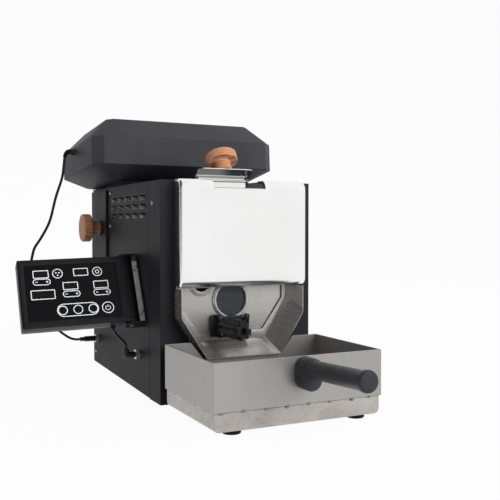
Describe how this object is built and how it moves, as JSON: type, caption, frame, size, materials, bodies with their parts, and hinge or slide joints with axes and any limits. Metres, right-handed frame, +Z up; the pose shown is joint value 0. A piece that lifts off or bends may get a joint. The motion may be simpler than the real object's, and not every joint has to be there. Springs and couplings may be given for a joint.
{
  "type": "home coffee bean roaster",
  "caption": "Countertop drum roaster with a steel body, hinged smoke-extraction box, feed hopper, bean chute, draw-out cooling tray, chaff drawer and swivelling touch panel.",
  "frame": {"origin": "middle of the object's outline from above, without its leads and plugs, on the surface it stands on", "axes": "+Z up, -Y towards the cooling tray's handle at the front, +X to the right seen from the front"},
  "size_m": [0.3306, 0.5334, 0.3192],
  "materials": {
    "black_steel": "fine matt powder coat",
    "black_plastic": "satin moulded plastic",
    "stainless": "brushed stainless steel",
    "inner_steel": "plain mill steel",
    "dark_steel": "dark heat-proof paint",
    "wood": "turned beech, oiled",
    "rubber": "matt black rubber",
    "brass": "plain brass",
    "glass": "clear heat-proof glass",
    "touch_glass": "gloss black touch surface",
    "board": "green circuit board"
  },
  "bodies": {
    "roaster_body": {"front_frame": "black_steel", "side_panel_left": "black_steel", "side_panel_right": "black_steel", "top_panel": "black_steel", "rear_panel": "black_steel", "discharge_bracket": "black_steel", "panel_bracket": "black_steel", "power_inlet": "black_plastic", "cooling_fan_frame": "black_plastic", "sight_glass_ring": "stainless", "sampling_port": "stainless", "discharge_chute": "stainless", "hood": "stainless", "fan_socket": "stainless", "panel_socket": "stainless", "hopper_throat": "inner_steel", "drum_rear_plate": "inner_steel", "heat_shield": "inner_steel", "chaff_chamber": "inner_steel", "base_plate": "dark_steel", "drum_front_plate": "dark_steel", "heater_element": "dark_steel", "drum_motor": "dark_steel", "box_hinge_body": "dark_steel", "foot_strip_front": "rubber", "foot_strip_rear": "rubber", "flue_gasket": "rubber", "fan_lead": "rubber", "panel_lead": "rubber", "fan_plug": "rubber", "panel_plug": "rubber", "sight_glass": "glass", "control_board": "board"},
    "feed_flap": {"hopper_lid": "stainless", "hopper_knob": "wood"},
    "discharge_door": {"discharge_door": "dark_steel", "discharge_knob": "black_plastic"},
    "roasting_drum": {"drum": "inner_steel", "drum_shaft": "inner_steel", "drum_gear": "brass"},
    "drive_pinion": {"motor_pinion": "brass"},
    "chaff_drawer": {"chaff_drawer": "black_steel", "chaff_drawer_knob": "wood"},
    "fan_box": {"fan_box_base": "black_plastic", "fan_box_cover": "black_plastic", "exhaust_motor": "dark_steel", "box_hinge_lid": "dark_steel"},
    "exhaust_fan": {"exhaust_impeller": "dark_steel"},
    "cooling_tray": {"cooling_tray": "stainless", "tray_screen": "inner_steel", "cooling_pan": "stainless", "pan_foot_front_left": "rubber", "pan_foot_front_right": "rubber", "pan_foot_rear_left": "rubber", "pan_foot_rear_right": "rubber", "handle_block": "black_plastic", "handle_grip": "black_plastic"},
    "control_panel": {"panel_housing": "black_plastic", "panel_glass": "touch_glass"},
    "cooling_fan": {"cooling_impeller": "black_plastic"}
  },
  "joints": [
    {"name": "feed_flap_hinge", "type": "hinge", "parent": "roaster_body", "child": "feed_flap", "pos_m": [0.05005, 0.00649, 0.2402], "axis": [1, 0, 0], "range_deg": [0, 24]},
    {"name": "discharge_door_hinge", "type": "hinge", "parent": "roaster_body", "child": "discharge_door", "pos_m": [0.04815, -0.02681, 0.091], "axis": [-1, 0, 0], "range_deg": [0, 45]},
    {"name": "drum_spin", "type": "hinge", "parent": "roaster_body", "child": "roasting_drum", "pos_m": [0.04815, 0.08919, 0.138], "axis": [0, 1, 0], "continuous": true},
    {"name": "pinion_spin", "type": "hinge", "parent": "roaster_body", "child": "drive_pinion", "pos_m": [0.04815, 0.17519, 0.1041], "axis": [0, 1, 0], "continuous": true},
    {"name": "chaff_drawer_slide", "type": "slide", "parent": "roaster_body", "child": "chaff_drawer", "axis": [-1, 0, 0], "range_m": [0, 0.08]},
    {"name": "fan_box_hinge", "type": "hinge", "parent": "roaster_body", "child": "fan_box", "pos_m": [0.04735, 0.24739, 0.2386], "axis": [-1, 0, 0], "range_deg": [0, 75]},
    {"name": "exhaust_fan_spin", "type": "hinge", "parent": "fan_box", "child": "exhaust_fan", "pos_m": [0.04735, 0.18219, 0.27345], "axis": [0, 0.0698, 0.9976], "continuous": true},
    {"name": "cooling_tray_slide", "type": "slide", "parent": "roaster_body", "child": "cooling_tray", "axis": [0, -1, 0], "range_m": [0, 0.15]},
    {"name": "control_panel_swivel", "type": "hinge", "parent": "roaster_body", "child": "control_panel", "pos_m": [-0.04735, 0.02959, 0.0828], "axis": [0, 0.4384, 0.8988], "range_deg": [-80, 33]},
    {"name": "cooling_fan_spin", "type": "hinge", "parent": "roaster_body", "child": "cooling_fan", "pos_m": [0.10165, 0.23219, 0.046], "axis": [0, 1, 0], "continuous": true}
  ],
  "couplings": [
    {"joint": "pinion_spin", "follows": "drum_spin", "ratio": -2.5}
  ]
}
